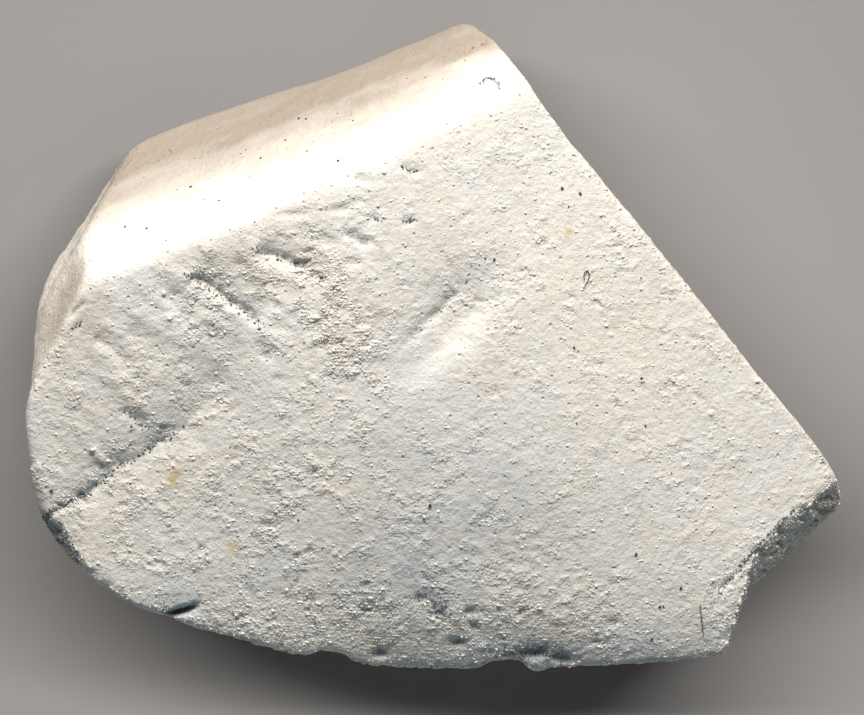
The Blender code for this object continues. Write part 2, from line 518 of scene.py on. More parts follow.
def paint(made, name, values):
    """Stores one number per point as an attribute that materials read by name."""
    layer = made.data.attributes.new(name, "FLOAT", "POINT")
    layer.data.foreach_set("value", values.astype(np.float32))


# ---------------- relief

# A furrow is (path, depth, reach to its left, reach to its right, fade, power); the last two may be left out,
# and a negative depth makes a ridge.
CREASE = [(-32.8, -14.7), (-31.9, -13.8), (-30.3, -13.1), (-28.9, -12.3), (-27.0, -10.5), (-24.9, -9.5)]
CREASE += [(-23.4, -8.4), (-20.9, -6.9), (-19.1, -4.6), (-17.9, -2.2), (-15.8, 0.0)]
SCOOP = [(4.6, 7.4), (2.9, 5.5), (0.8, 3.2), (-1.1, 1.3), (-3.4, -0.6), (-4.5, -1.7)]
FIRST_FURROW = [(-20.6, 5.8), (-19.1, 5.0), (-17.8, 4.1), (-16.6, 3.3), (-15.3, 2.6), (-14.1, 1.3)]
SECOND_FURROW = [(-15.2, 8.2), (-13.4, 7.5), (-12.1, 7.0), (-10.4, 6.1), (-8.3, 5.2)]
FURROWS = [
    (CREASE, 0.62, 2.4, 2.6, 0.25, 1.2),
    ([(7.4, 8.2), (4.4, 4.6), (1.9, 1.8), (0.0, -0.1), (-2.3, -2.0), (-4.6, -4.1)], 0.88, 1.7, 4.6, 0.5),
    (FIRST_FURROW, 0.55, 1.7, 0.8, 0.2, 1.2),
    (SECOND_FURROW, 0.42, 1.5, 0.8, 0.2, 1.2),
    ([(-26.3, -5.5), (-25.2, -6.1), (-24.0, -7.1)], 0.22, 0.8, 0.4),
    ([(-28.5, 0.6), (-26.7, -0.4), (-25.5, -2.6)], 0.14, 1.0, 0.45),
    ([(-25.8, 1.1), (-24.3, -0.4), (-22.6, -1.9)], 0.12, 1.0, 0.5),
    ([(-22.4, 4.4), (-21.1, 2.8), (-20.2, 1.6)], 0.13, 0.9, 0.4),
    ([(-29.9, -1.4), (-28.4, -2.8), (-27.2, -4.1)], 0.10, 0.9, 0.5),
    ([(-17.2, 7.2), (-15.4, 5.4), (-13.6, 4.2)], 0.12, 0.9, 0.5),
    ([(-11.8, 9.8), (-9.6, 8.6), (-7.6, 7.9)], 0.12, 0.9, 0.5),
    ([(-6.2, 8.2), (-4.7, 4.4), (-4.4, 2.2)], -0.08, 0.8, 0.8),
]
# Cores have the same form: narrow cuts, some of them along the bottom of a furrow, and narrow ridges.
CORES = [
    (CREASE[:-3], 0.10, 0.26, 0.22),
    (CREASE[:4], 0.08, 0.36, 0.28),
    (FIRST_FURROW, 0.16, 0.30, 0.30),
    (SECOND_FURROW, 0.14, 0.30, 0.30),
    (SCOOP[1:5], 0.16, 0.50, 0.36),
    ([(-31.2, 2.0), (-30.0, 3.0), (-29.0, 3.9)], 0.14, 0.28, 0.28),
    ([(-30.6, 1.0), (-29.2, 2.2)], 0.12, 0.28, 0.28),
    ([(-28.8, -8.3), (-27.9, -9.4), (-27.2, -10.1)], -0.16, 0.30, 0.30),
    ([(-4.7, 9.8), (-4.1, 8.3), (-3.4, 7.1)], -0.09, 0.28, 0.28),
    ([(5.0, 19.1), (5.2, 13.2), (5.1, 7.1)], -0.04, 0.45, 0.45),
    ([(23.8, -21.0), (25.4, -19.4), (26.9, -18.1)], 0.10, 0.24, 0.24),
]
# A dent is (centre, reach along, reach across, turn, depth). The broad one is too shallow to get painted
# shade.
BROAD_DENT = [((9.0, -17.5), 9.0, 5.0, 0, 0.30)]
DENTS = [
    ((-2.1, 10.4), 0.50, 0.28, 20, 0.18),
    ((-4.9, 10.6), 0.35, 0.30, 0, 0.16),
    ((-7.0, 9.4), 0.60, 0.32, -10, 0.24),
    ((-5.9, 8.8), 0.80, 0.34, -15, 0.26),
    ((-6.4, 7.1), 0.60, 0.34, 10, 0.20),
    ((-9.0, 0.0), 0.60, 0.36, -20, 0.22),
    ((-13.0, -2.9), 0.50, 0.34, 0, 0.14),
    ((-14.1, -0.8), 0.60, 0.34, -30, 0.20),
    ((-11.6, 10.9), 1.60, 0.34, 12, 0.14),
    ((-7.6, 11.4), 1.50, 0.36, 15, 0.16),
    ((-6.2, 13.9), 1.00, 0.30, -5, 0.20),
    ((-1.8, 14.7), 0.80, 0.28, -25, 0.18),
    ((0.6, -22.7), 0.60, 0.30, 0, 0.26),
    ((-0.8, -21.5), 0.90, 0.40, 0, 0.16),
    ((-21.7, -22.7), 1.40, 0.34, 18, 0.80),
    ((-20.4, -22.1), 0.60, 0.24, 30, 0.50),
    ((-15.9, -25.3), 0.75, 0.36, 0, 0.60),
    ((8.6, -26.0), 1.30, 0.55, 6, 0.45),
    ((11.0, -26.6), 0.90, 0.45, 0, 0.45),
    ((2.0, -25.2), 0.80, 0.40, 10, 0.30),
    ((-4.4, -26.0), 0.70, 0.40, 0, 0.35),
]
# The small curved dent near the top corner, open below: centre, radius, half width and depth.
ARC_CENTRE, ARC_RADIUS, ARC_WIDTH, ARC_DEPTH = (4.7, 21.6), 0.8, 0.28, 0.42
# The strip along the broken lower left edge, in plan, which the material darkens as painted shade.
STRIP = [(-34.4, -14.0), (-32.6, -14.8), (-31.5, -15.6), (-30.4, -16.5), (-28.9, -18.4)]


def shifted(points, amount, size, seed):
    """Points nudged by three smooth noises, so that what is drawn on them gets a ragged edge."""
    return points + amount * np.stack([smooth_noise(points / size, seed + axis) for axis in range(3)], 1)


def face_relief(points, normals):
    """The creases, furrows and dents of the face, in millimetres along the skin, and where they are deep: the
    sum of the furrows, the narrow cores (made uneven by two noises), the dents and the arc, where the skin
    faces up."""
    upward = ramp(normals[:, 2], 0.35, 0.75)
    wander = shifted(shifted(points, 0.28, 2.4, 71), 0.16, 0.7, 75)
    x, y = wander[:, 0], wander[:, 1]
    uneven = 1.0 + 0.9 * smooth_noise(points / 1.1, 81) + 0.9 * smooth_noise(points / 0.5, 83)
    broad = sum(furrow(x, y, *entry) for entry in FURROWS) + patches(x, y, BROAD_DENT)
    cores = sum(furrow(x, y, *entry) for entry in CORES) * np.clip(uneven, 0.15, 2.2)
    dents = patches(x, y, DENTS)
    arc_x, arc_y = x - ARC_CENTRE[0], y - ARC_CENTRE[1]
    ring = (np.hypot(arc_x, arc_y) - ARC_RADIUS) / ARC_WIDTH
    dents = dents + ARC_DEPTH * np.exp(-(ring**2)) * ramp(arc_y, -0.3, 0.3)
    return -upward * (broad + cores + dents), upward * np.clip((0.35 * cores + dents) / 0.30, 0, 1)


# Where the face is crumbly: centre, reach along, reach across, turn, share. Elsewhere it is LEAST_CRUMBLY.
CRUMBLY = [
    ((-8.0, 2.0), 4.0, 10.0, 20, 1.0),
    ((-16.0, 4.0), 9.0, 5.0, 15, 0.55),
    ((-24.0, -9.5), 9.0, 4.0, 40, 0.65),
    ((-14.0, -14.0), 12.0, 8.0, 0, 0.60),
    ((0.0, -22.0), 16.0, 5.0, 0, 0.70),
    ((19.0, -20.0), 10.0, 5.0, 0, 0.30),
    ((0.0, -14.0), 14.0, 9.0, 0, 0.35),
]
LEAST_CRUMBLY = 0.10


def crumbly_share(points):
    """How crumbly the skin is at each point, 0 to 1: the greatest of its patches, times a patchy noise."""
    x, y = points[:, 0], points[:, 1]
    share = np.maximum.reduce([patches(x, y, [row]) for row in CRUMBLY])
    share = np.maximum(share, LEAST_CRUMBLY)
    return np.clip(share * (1 + 0.8 * layered_noise(points, 4.2, 2, 91)), 0, 1)


def on_chip_wall(normals, chip):
    """The chip's share where the skin faces outward as the chip's upper wall does, and 0 on its ledge."""
    return chip * ramp(normals @ facing(CHIP_BEARING, 0), 0.45, 0.75)


def raise_relief(points, normals, zones, down):
    """All the relief of the rock along its skin, the crumbly share, and where it is deep. The height is a
    sum: swells, lumps, grain, tilted flakes, missing bits, holes, nicks and ragged edges, rolls along the
    band, chips down the walls, ribs on the upper left of the face, and the cuts that have their own places.
    Each is a noise of its own size times where it belongs. The small relief fades as the rings get coarse
    down the walls."""
    face, band, wall, chip = zones
    x, y, z = points.T
    chip_wall = on_chip_wall(normals, chip)
    smooth_wall = ramp(-x, 26, 28) * ramp(y, -4, 0)
    broken_wall = wall * (1 - 0.75 * smooth_wall)
    low_edge = face * ramp(-y, 19, 25) * (1 - 0.6 * ramp(x, 10, 20))
    crumbly = np.clip(crumbly_share(points) * (face + 0.25 * band) + 0.7 * broken_wall + chip, 0, 1)
    rough = face + 0.45 * band + 1.6 * broken_wall + 0.7 * low_edge
    rough = rough * (1 - 0.6 * ramp(down, 0.08, 0.35)) + 1.5 * chip + 1.5 * chip_wall
    torn = shifted(shifted(points, 0.5, 2.2, 13), 0.25, 0.8, 17)
    clusters = ramp(layered_noise(points, 2.4, 3, 97, 0.7) + 0.55 * crumbly, 0.0, 0.75)

    swell = 0.24 * layered_noise(points, 15.0, 2, 11)
    lumps = 0.042 * layered_noise(points, 4.6, 2, 23, 0.6) * (0.5 + crumbly + 1.2 * wall)
    grain = 0.036 * layered_noise(points, 1.1, 3, 41, 0.8) * rough * (0.4 + clusters)
    _, _, _, number = cell_noise(torn / np.array([0.75, 0.5, 0.6]), 31)
    missing = -0.14 * ((number % 100) < 8) * rough * clusters * (0.6 + 0.6 * crumbly)
    flakes = 0.018 * scales(torn / np.array([1.9, 1.4, 1.4]), 1.0, 33) + 0.030 * scales(torn, 0.65, 37)
    flakes *= rough * (0.2 + 1.2 * clusters + 0.8 * crumbly)
    holes = -0.06 * pits(torn, 1.7, 0.16, 53) * rough * clusters

    bent = shifted(points, 1.2, 6.0, 19)
    chips = 0.30 * scales(bent, 6.5, 35) + 0.12 * layered_noise(torn, 1.8, 2, 21, 0.6)
    chips *= wall * ramp(down, 0.05, 0.3)
    ribbed = patch(x, y, (-17.0, 3.0), (8.0, 5.0), -20) + 0.6 * patch(x, y, (-26.5, -3.0), (4.5, 4.0))
    along_ribs = shifted(np.stack([*turned(x, y, RIB_TURN), z], 1), 0.3, 1.5, 85)
    ribs = 0.20 * layered_noise(along_ribs / np.array([8.0, 1.4, 9.0]), 1.0, 2, 87) * ribbed * face
    along, across = turned(x, y, STREAK_TURN)
    rolls = 0.12 * layered_noise(np.stack([along / 12, across / 2.4, z / 3.5], 1), 1.0, 2, 61) * band

    edge = ramp(1 - zones.max(0), 0.1, 0.45)
    low = ramp(-y, 6, 20)
    nicks = -0.45 * pits(torn, 2.4, 0.5, 59) * edge * (0.1 + 0.9 * low)
    ragged = 0.16 * layered_noise(points, 1.5, 3, 63, 0.7) * edge * (0.2 + 0.8 * low)
    height = swell + lumps + grain + flakes + missing + holes + nicks + ragged + rolls + chips + ribs

    cut, cut_deep = face_relief(points, normals)
    speckle = np.clip(0.05 + layered_noise(points, 0.8, 2, 107, 0.8), 0, 0.6) * ramp(34.0 - x, 0, 1)
    strip = furrow(x, y, STRIP, 1.04, 0.9, 1.2) * ramp(0.9 - normals[:, 2], 0, 0.1) * ramp(z, 18, 20)
    # Where the material paints cool dark shade: the cuts, dents and arc, missing flakes and holes, a mottling
    # on the chip's upper wall, which faces away from the key light, and the strip along the lower left edge.
    deep = np.maximum.reduce([cut_deep, -0.9 * (missing + holes), speckle * chip_wall, strip])
    crumbled = clusters * (0.2 + 0.8 * crumbly) + 0.4 * low_edge + 0.4 * broken_wall + chip_wall
    return height + cut, np.clip(crumbled, 0, 1), deep


def rock_skin():
    """The finished skin: points, squares, triangles, the way it faces, the zones, and what its material
    reads. A zone is one part's share of a point: exp(its field / 0.5) over the sum of all four."""
    lattice, squares, triangles = skin_lattice()
    points, normals = draw_out(lattice_directions(lattice), rock_field)
    values = np.stack([value for value, _ in rock_parts(points)])
    zones = np.exp((values - values.max(0)) / 0.5)
    zones /= zones.sum(0)
    height, crumbly, deep = raise_relief(points, normals, zones, lattice[:, 2])
    skin = points + height[:, None] * normals
    skin[:, 2] = np.maximum(skin[:, 2], 0.0)
    # How far each point lies below its neighbours: the material paints shade into these hollows.
    hollow = (neighbour_mean(height, squares, 10) - height) / 0.15
    return skin, squares, triangles, normals, zones, crumbly, np.clip(hollow, -1, 1), np.clip(deep, 0, 1)


# Painted grey shade on the face: soft patches that darken and cool it, most of them on the shaded slopes
# of the crease and furrows, the lower face and under the lower edge. Each is centre, reach along, reach
# across, turn, share.
GREY_SHADE_PATCHES = [
    ((-23.2, -6.8), 3.8, 1.5, 33, 0.40),
    ((-30.2, -12.2), 2.2, 0.7, 30, 0.35),
    ((-16.6, 4.8), 2.6, 0.8, -33, 0.35),
    ((3.0, -12.5), 9.0, 7.0, 0, 0.50),
    ((26.0, -8.0), 9.0, 5.0, -50, 0.14),
    ((8.0, 14.0), 7.0, 6.0, 0, 0.14),
    ((-3.0, -20.0), 6.5, 4.0, 0, 0.62),
    ((-21.5, -22.6), 4.5, 2.2, -20, 0.80),
    ((-14.8, -18.2), 4.0, 3.0, 0, 0.30),
    ((-16.3, 2.2), 2.5, 2.0, 0, 0.45),
    ((-2.8, -1.4), 2.5, 2.0, 30, 0.40),
    ((8.0, -26.5), 9.0, 1.6, 3, 0.60),
    ((20.0, -26.0), 6.0, 1.2, 5, 0.45),
]


def grey_shade_share(points):
    """How much painted grey shade lies on the face, from its soft patches broken up by a noise."""
    x, y = points[:, 0], points[:, 1]
    return np.clip(patches(x, y, GREY_SHADE_PATCHES) * (1 + 0.6 * layered_noise(points, 2.2, 3, 103, 0.7)), 0, 1)


# The cream to tan colour starts at the line where the band's white shoulder ends: a point on it and the way
# out. It is partly the chalk's own staining and partly painted shade where the band lies farther from the
# light. On the upper left wall it follows a path of its own, a brownish tint that is partly painted shade in
# the valley by the nub.
SHOULDER_POINT, SHOULDER_WAY = (-24.0, 11.0), (-0.339, 0.941)
WALL_STAIN_AND_SHADE = [(-28.4, 13.3), (-29.4, 7.2), (-31.5, 2.4), (-33.0, -0.5)]


def stain_and_shade_share(points, band):
    """The cream to tan colour, partly the chalk's own staining and partly painted shade: the distance out
    from the shoulder's line plus a streaky noise that runs with the band, over the width in which it reaches
    its full depth. It covers the upper left wall too."""
    x, y, z = points.T
    along, across = turned(x, y, STREAK_TURN)
    streaks = layered_noise(np.stack([along / 9, across / 1.2, z / 6], 1), 1.0, 3, 67)
    outward = SHOULDER_WAY[1] * (y - SHOULDER_POINT[1]) + SHOULDER_WAY[0] * (x - SHOULDER_POINT[0])
    outward = outward - 0.21 * np.maximum(x + 6, 0)
    full_width = 4.2 - 2.3 * ramp(x, -8, 4)
    on_band = np.clip((outward + 0.9 * streaks) / full_width, 0, 1) * ramp(band, 0.1, 0.5)
    on_wall = 0.16 * ramp(-x, 26.5, 28.5) * ramp(y, -4.0, 3.0) + furrow(x, y, WALL_STAIN_AND_SHADE, 0.36, 0.7, 0.9)
    return on_band + on_wall * (1 - band)


# ---------------- small pieces on the skin

GRAIN_CORNERS, GRAIN_LATITUDE = 5, math.radians(26.6)
GRAIN_POINTS = 2 * GRAIN_CORNERS + 2


def grain_shape():
    """A lump of twenty faces: two rings of five corners, half a step apart, between two poles."""
    ring = np.arange(GRAIN_CORNERS) * 2 * math.pi / GRAIN_CORNERS
    upper = np.stack([np.cos(ring), np.sin(ring)], 1) * math.cos(GRAIN_LATITUDE)
    half_on = ring + math.pi / GRAIN_CORNERS
    lower = np.stack([np.cos(half_on), np.sin(half_on)], 1) * math.cos(GRAIN_LATITUDE)
    rise = np.full((GRAIN_CORNERS, 1), math.sin(GRAIN_LATITUDE))
    points = np.concatenate([[(0, 0, 1)], np.hstack([upper, rise]), np.hstack([lower, -rise]), [(0, 0, -1)]])
    up = np.arange(GRAIN_CORNERS) + 1
    low = up + GRAIN_CORNERS
    up_next, low_next = np.roll(up, -1), np.roll(low, -1)
    top, bottom = np.zeros_like(up), np.full_like(up, GRAIN_POINTS - 1)
    belts = [(top, up, up_next), (up, low, up_next), (up_next, low, low_next), (low, bottom, low_next)]
    return points, np.concatenate([np.stack(belt, 1) for belt in belts])


def scatter(name, places, outward, radii, squash, random):
    """Small angular grains, one per place: the lump's corners pushed in and out at random, flattened along
    the skin's own direction and turned at random about it."""
    shape, faces = grain_shape()
    turn = random.normal(size=places.shape)
    side = np.cross(outward, turn)
    side /= np.linalg.norm(side, axis=1)[:, None]
    other = np.cross(outward, side)
    corners = shape[None] * random.uniform(0.7, 1.25, (len(places), len(shape), 1))
    corners[..., 0] *= random.uniform(0.8, 1.5, (len(places), 1))
    local = corners[..., :1] * side[:, None] + corners[..., 1:2] * other[:, None]
    local = local + squash * corners[..., 2:] * outward[:, None]
    points = places[:, None] + local * radii[:, None, None]
    faces = faces[None] + (np.arange(len(places)) * len(shape))[:, None, None]
    return mesh_object(name, points.reshape(-1, 3), [faces.reshape(-1, 3)], smooth=False)


def fibre(name, path, radius, sides=6):
    """A hair laid along a path: a ring of points carried along it, closed at both ends with a point."""
    path = np.array(path)
    steps = np.linspace(0, len(path) - 1, 8 * len(path))
    line = np.stack([np.interp(steps, np.arange(len(path)), path[:, axis]) for axis in range(3)], 1)
    for _ in range(6):
        line[1:-1] = (line[:-2] + line[1:-1] + line[2:]) / 3
    forward = np.gradient(line, axis=0)
    forward /= np.linalg.norm(forward, axis=1)[:, None]
    side = np.cross(forward, (0, 0, 1))
    side /= np.linalg.norm(side, axis=1)[:, None]
    over = np.cross(side, forward)
    ring = np.arange(sides) * 2 * math.pi / sides
    thick = radius * (0.6 + 0.4 * np.sin(np.linspace(0, math.pi, len(line))))
    tube = line[:, None] + thick[:, None, None] * (
        np.cos(ring)[None, :, None] * side[:, None] + np.sin(ring)[None, :, None] * over[:, None]
    )
    numbers = np.arange(len(line) * sides).reshape(len(line), sides)
    near, far = numbers[:-1], numbers[1:]
    walls = np.stack([near, far, np.roll(far, -1, 1), np.roll(near, -1, 1)], -1).reshape(-1, 4)
    start, end = len(line) * sides, len(line) * sides + 1
    caps = [
        np.stack([np.full(sides, start), numbers[0], np.roll(numbers[0], -1)], 1),
        np.stack([np.full(sides, end), np.roll(numbers[-1], -1), numbers[-1]], 1),
    ]
    points = np.concatenate([tube.reshape(-1, 3), line[:1], line[-1:]])
    return mesh_object(name, points, [walls, np.concatenate(caps)])


# ---------------- the pieces

# Rusty spots on the face: centre, reach along, reach across, turn, strength.
OCHRE_SPOTS = [
    ((-21.6, -10.8), 0.5, 0.5, 0, 1.0),
    ((-22.0, -11.6), 0.4, 0.4, 0, 1.0),
    ((11.4, 9.5), 0.35, 0.35, 0, 1.0),
    ((-16.8, -17.0), 0.5, 0.5, 0, 1.0),
]
CRUMB_COUNT, GRIT_COUNT = 9000, 46
GRIT_PLACES = [(-20.5, 13.5), (-17.9, 12.0), (-24.0, 9.8), (-25.9, 10.0), (-11.5, 19.9), (5.1, 7.2)]
GRIT_PLACES += [(17.5, -2.7), (11.8, -0.2), (-10.7, 19.2), (-12.5, 17.4), (-8.0, 15.5), (-14.5, 15.7)]
GRIT_PLACES += [(12.4, 12.7), (10.9, 13.2), (18.5, -24.9), (20.9, -20.4), (19.2, -22.0), (17.2, -17.6)]
GRIT_PLACES += [(-0.2, -13.5), (-32.2, -12.2)]
# Where the dark crumbs lie that paint shade into the cuts, the arc and under the edges: a path, how many,
# and how far they stray from it.
SHADE_CRUMB_LINES = [
    (CREASE[:-3], 240, 0.14),
    (CREASE[:4], 90, 0.20),
    (FIRST_FURROW, 130, 0.16),
    (SECOND_FURROW, 90, 0.16),
    (SCOOP[:4], 14, 0.20),
    ([(-2.6, 14.9), (-1.9, 14.6), (-1.3, 14.6)], 26, 0.10),
    ([(-2.5, 10.3), (-2.0, 10.5), (-1.6, 10.5)], 26, 0.12),
    ([(-4.9, 10.7), (-4.4, 10.5)], 12, 0.10),
    ([(3.8, 21.2), (3.9, 21.9), (4.4, 22.35), (4.9, 22.4), (5.4, 22.1), (5.6, 21.5)], 44, 0.07),
    ([(-26.3, -5.5), (-25.2, -6.1), (-24.0, -7.1)], 50, 0.13),
    ([(-30.6, 1.0), (-29.9, 1.6), (-29.2, 2.2)], 14, 0.14),
    ([(-33.4, -14.4), (-32.2, -15.4), (-31.1, -16.6), (-29.9, -18.1)], 210, 0.33),
    ([(-22.6, -23.0), (-21.4, -22.5), (-20.4, -22.0)], 60, 0.14),
    ([(5.6, -26.3), (8.6, -25.7), (11.2, -26.4)], 200, 0.45),
    ([(-1.4, -21.2), (0.4, -22.4), (1.2, -22.8)], 60, 0.35),
    ([(-13.5, -26.0), (-8.0, -26.9), (-3.0, -27.3), (5.0, -27.1)], 120, 0.35),
    ([(24.2, -20.6), (25.4, -19.4), (27.5, -16.9), (30.4, -14.0)], 200, 0.12),
]
# A dark crumb is kept where a skin point is this near in plan.
SHADE_CRUMB_REACH = 0.22
# The least upward part of a normal that counts as the top, and how high above the floor crumbs begin.
FACES_UP, CLEAR_OF_FLOOR = 0.3, 0.6

skin, squares, triangles, facing_out, zones, crumbly, hollow, deep = rock_skin()
_, band, _, chip = zones
on_top = facing_out[:, 2] > FACES_UP
chip_wall = on_chip_wall(facing_out, chip)
long_rim = ramp(facing_out @ facing(LONG_SIDE_BEARING, 0), 0.35, 0.75) * ramp(skin[:, 2], 19, 27)
# The marks the material reads. It paints shade on the grey patches, in hollows and in the deep places, and
# the cream to tan colour is partly painted shade.
skin_marks = {
    "grey_shade": grey_shade_share(skin) * on_top,
    "crumbly": crumbly,
    "hollow": hollow,
    "stain_and_shade": stain_and_shade_share(skin, band),
    "ochre": patches(skin[:, 0], skin[:, 1], OCHRE_SPOTS) * on_top + 0.15 * long_rim,
    "deep": deep,
}
rock = mesh_object("chalk_rock_surface", skin, [squares, triangles])
for name, values in skin_marks.items():
    paint(rock, name, values)


def on_skin(x, y):
    """The number of the skin point nearest to a place in plan, among those that face up."""
    away = np.hypot(skin[:, 0] - x, skin[:, 1] - y)
    return np.argmin(np.where(on_top, away, 99.0))


def pale_crumbs(random):
    """Pale crumbs on points of the skin, drawn more often where it is crumbly or deep. On the chip's wall
    they are larger and stand prouder."""
    chance = np.where(on_top, crumbly**2 * (1 - 0.85 * band) + 0.2 * deep + 0.05, 0.06 * crumbly)
    chance = (chance + 7.0 * chip_wall) * (skin[:, 2] > CLEAR_OF_FLOOR) * (1 - 0.9 * long_rim)
    chosen = random.choice(len(skin), CRUMB_COUNT, replace=False, p=chance / chance.sum())
    radii = 0.055 + 0.10 * random.random(CRUMB_COUNT) ** 5 + 0.09 * (random.random(CRUMB_COUNT) < 0.02)
    radii *= 1 + 0.7 * chip_wall[chosen]
    squash = 0.38 + 0.5 * chip_wall[chosen][:, None, None]
    made = scatter("loose_crumbs", skin[chosen], facing_out[chosen], radii, squash, random)
    paint(made, "stain_and_shade", np.repeat(skin_marks["stain_and_shade"][chosen], GRAIN_POINTS))
    return made


def dark_specks(random):
    """Dark specks at their own places, and more at random, mostly on the band."""
    chance = on_top * (0.3 + band)
    loose = random.choice(len(skin), GRIT_COUNT, replace=False, p=chance / chance.sum())
    chosen = np.concatenate([[on_skin(*place) for place in GRIT_PLACES], loose])
    radii = np.concatenate([np.full(len(GRIT_PLACES), 0.13), 0.05 + 0.04 * random.random(GRIT_COUNT)])
    laid = skin[chosen] + 0.3 * radii[:, None] * facing_out[chosen]
    return scatter("dark_grit", laid, facing_out[chosen], radii, 0.8, random)


def shade_crumb_lines(random):
    """Dark crumbs that paint shade, strewn along each listed path. Each is kept where a skin point is near,
    and laid at that point's height less the slope of the skin times the way to it."""
    places = []
    for path, count, stray in SHADE_CRUMB_LINES:
        share = np.clip(random.random(count) + 0.05 * random.normal(size=count), 0, 1) * (len(path) - 1)
        steps = np.arange(len(path))
        line = np.stack([np.interp(share, steps, along) for along in np.transpose(path)], 1)
        places.append(line + stray * random.normal(size=(count, 2)))
    places = np.concatenate(places)
    chosen = np.array([on_skin(*place) for place in places])
    kept = np.hypot(*(skin[chosen, :2] - places).T) < SHADE_CRUMB_REACH
    places, chosen = places[kept], chosen[kept]
    faced = facing_out[chosen]
    away = ((places - skin[chosen, :2]) * faced[:, :2]).sum(1)
    level = skin[chosen, 2] - away / np.maximum(faced[:, 2], FACES_UP)
    radii = 0.045 + 0.075 * random.random(len(places)) ** 2
    return scatter("shade_crumbs", np.hstack([places, level[:, None]]), faced, radii, 0.5, random)


random = np.random.default_rng(2718)
crumbs = pale_crumbs(random)
grit = dark_specks(random)
shade_crumbs = shade_crumb_lines(random)

HAIRS = {
    "curled_hair": [(12.6, 4.8), (13.0, 5.4), (13.15, 6.0), (12.95, 6.3), (12.65, 6.1), (12.7, 5.5)],
    "straight_hair": [(22.6, -21.9), (22.65, -22.7), (22.75, -23.4), (22.9, -24.6)],
}
HAIR_RADIUS = 0.045
hairs = []
for name, path in HAIRS.items():
    laid = [(x, y, skin[on_skin(x, y), 2] + 1.5 * HAIR_RADIUS) for x, y in path]
    hairs.append(fibre(name, laid, HAIR_RADIUS))

# ---------------- materials


def node(tree, kind, inputs=(), **settings):
    """A new node with its settings, its inputs either linked or set."""
    made = tree.nodes.new(kind)
    for name, value in settings.items():
        setattr(made, name, value)
    for name, value in dict(inputs).items():
        if isinstance(value, bpy.types.NodeSocket):
            tree.links.new(value, made.inputs[name])
        else:
            made.inputs[name].default_value = value
    return made


def noise(tree, place, per_mm, detail, roughness=0.5):
    """A noise with so many cells to the millimetre."""
    inputs = {"Vector": place, "Scale": per_mm / MM, "Detail": detail, "Roughness": roughness}
    return node(tree, "ShaderNodeTexNoise", inputs)


def sum_of(tree, *parts):
    """The sum of (value, weight) pairs."""
    total = None
    for value, weight in parts:
        inputs = {0: value, 1: weight}
        if total is not None:
            inputs[2] = total
        operation = "MULTIPLY" if total is None else "MULTIPLY_ADD"
        total = node(tree, "ShaderNodeMath", inputs, operation=operation).outputs[0]
    return total


def spread(tree, value, low, high, start=0.0, end=1.0):
    """A value from low to high carried onto start to end, and held there beyond."""
    inputs = {"Value": value, "From Min": low, "From Max": high, "To Min": start, "To Max": end}
    return node(tree, "ShaderNodeMapRange", inputs).outputs["Result"]


def mixed(tree, share, first, second):
    """Two colours mixed by a share."""
    return node(tree, "ShaderNodeMix", {0: share, 6: first, 7: second}, data_type="RGBA").outputs[2]


def combined(tree, operation, first, second, kind="ShaderNodeMath"):
    """Two values, or with kind="ShaderNodeVectorMath" two vectors, put through one operation."""
    return node(tree, kind, {0: first, 1: second}, operation=operation).outputs[0]


def object_place(tree):
    """The place on the object that every pattern reads."""
    return tree.nodes.new("ShaderNodeTexCoord").outputs["Object"]


def new_material(name, roughness):
    """A new material, its node tree and its shader."""
    material = bpy.data.materials.new(name)
    material.use_nodes = True
    shader = material.node_tree.nodes["Principled BSDF"]
    shader.inputs["Roughness"].default_value = roughness
    return material, material.node_tree, shader


# The domes of the fine grain: cells to the millimetre, and height in millimetres.
DOMES = [(1.7, 0.075), (2.8, 0.082), (4.6, 0.046), (7.5, 0.010)]
PIN_DEPTH = 0.07


